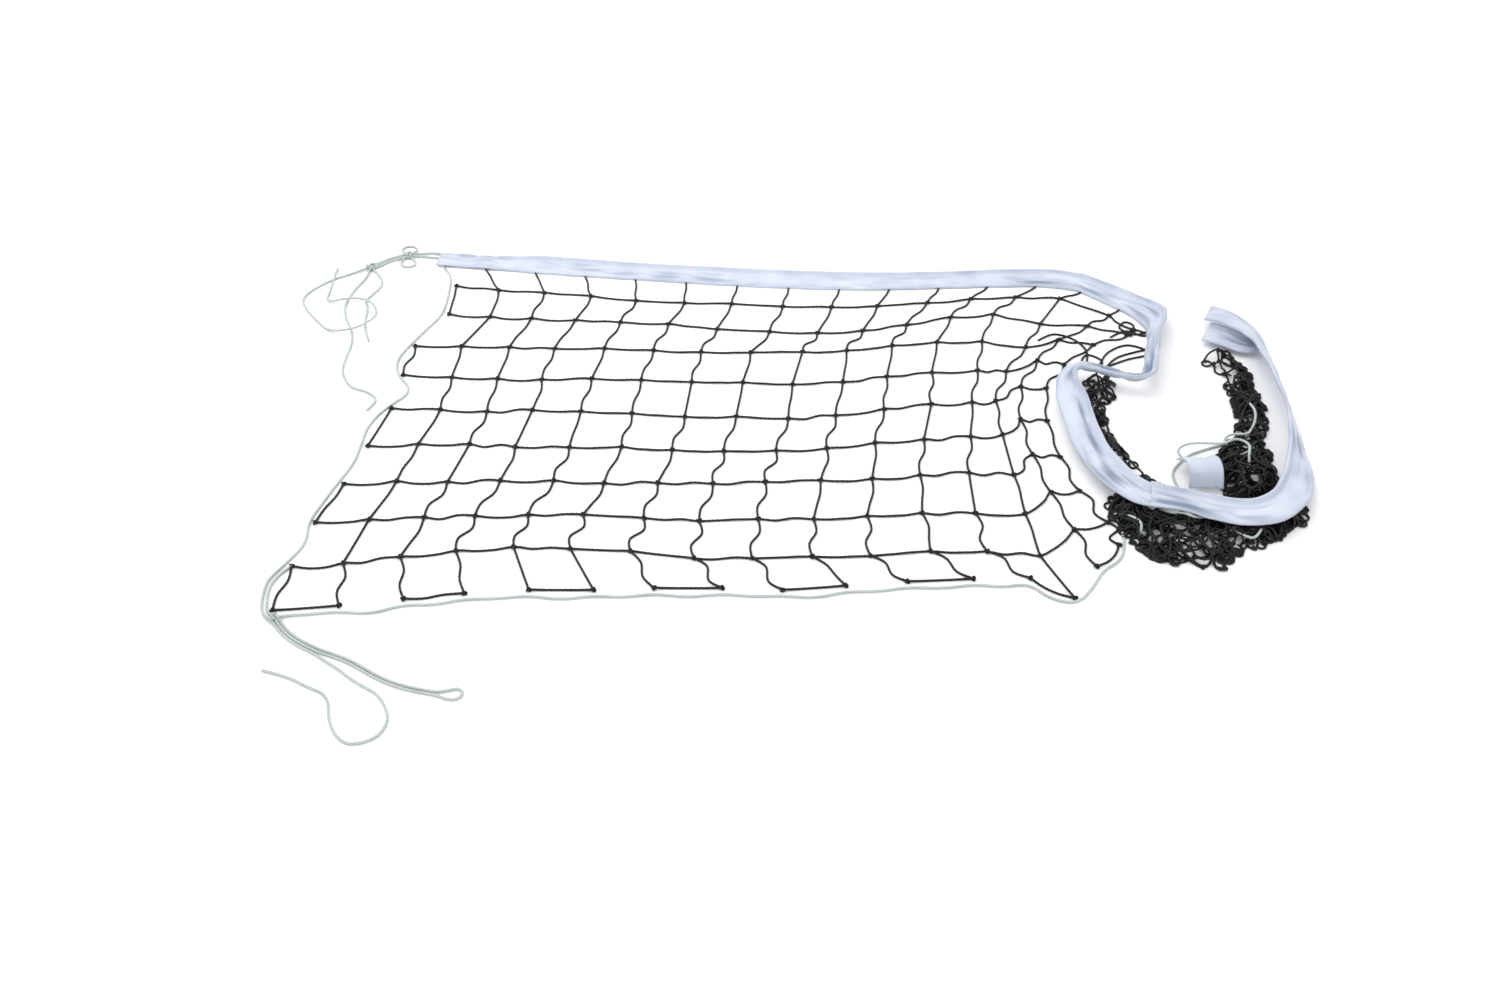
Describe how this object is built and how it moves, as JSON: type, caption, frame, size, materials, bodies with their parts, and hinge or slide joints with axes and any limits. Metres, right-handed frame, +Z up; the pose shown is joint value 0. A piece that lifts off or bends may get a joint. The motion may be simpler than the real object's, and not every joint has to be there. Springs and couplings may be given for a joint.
{
  "type": "tennis net",
  "caption": "Court net lying loosely on a floor: black knotted square mesh below a white folded headband tape, white threaded edge cords and corner ties, one end gathered in a ring.",
  "frame": {"origin": "centre of the laid net's outline on the floor, without its white cords; the floor is Z = 0", "axes": "+X along the headband from its free end towards the gathered end, +Y from the bottom edge towards the headband, +Z up from the floor"},
  "size_m": [1.9319, 1.2835, 0.0579],
  "materials": {
    "mesh_twine": "satin",
    "band_tape": "matte",
    "seam_thread": "satin",
    "white_cord": "matte"
  },
  "bodies": {
    "root": {"mesh_row_01": "mesh_twine", "mesh_row_02": "mesh_twine", "mesh_row_03": "mesh_twine", "mesh_row_04": "mesh_twine", "mesh_row_05": "mesh_twine", "mesh_row_06": "mesh_twine", "mesh_row_07": "mesh_twine", "mesh_row_08": "mesh_twine", "mesh_row_09": "mesh_twine", "mesh_row_10": "mesh_twine", "mesh_edge_left": "mesh_twine", "mesh_column_01": "mesh_twine", "mesh_column_02": "mesh_twine", "mesh_column_03": "mesh_twine", "mesh_column_04": "mesh_twine", "mesh_column_05": "mesh_twine", "mesh_column_06": "mesh_twine", "mesh_column_07": "mesh_twine", "mesh_column_08": "mesh_twine", "mesh_column_09": "mesh_twine", "mesh_column_10": "mesh_twine", "mesh_column_11": "mesh_twine", "mesh_column_12": "mesh_twine", "mesh_column_13": "mesh_twine", "mesh_column_14": "mesh_twine", "mesh_column_15": "mesh_twine", "knots_rows_01_02": "mesh_twine", "knots_rows_03_04": "mesh_twine", "knots_rows_05_06": "mesh_twine", "knots_rows_07_08": "mesh_twine", "knots_rows_09_10": "mesh_twine", "gathered_mesh_inner": "mesh_twine", "gathered_mesh_front": "mesh_twine", "gathered_mesh_heap": "mesh_twine", "gathered_mesh_far": "mesh_twine", "headband_flat": "band_tape", "headband_shoulder": "band_tape", "headband_turn": "band_tape", "headband_return": "band_tape", "headband_down": "band_tape", "headband_front": "band_tape", "headband_far": "band_tape", "headband_upper": "band_tape", "headband_upper_fold": "band_tape", "headband_end": "band_tape", "headband_seam": "seam_thread", "head_cord": "white_cord", "tie_trunk": "white_cord", "tie_bow_loops": "white_cord", "tie_knots": "white_cord", "tie_tail_a": "white_cord", "tie_tail_b": "white_cord", "tie_tail_c": "white_cord", "side_cord": "white_cord", "corner_lashing": "white_cord", "corner_tie_knot": "white_cord", "bottom_tie_loop": "white_cord", "bottom_tie_tail": "white_cord", "bottom_cord": "white_cord", "far_cord": "white_cord"}
  },
  "joints": []
}
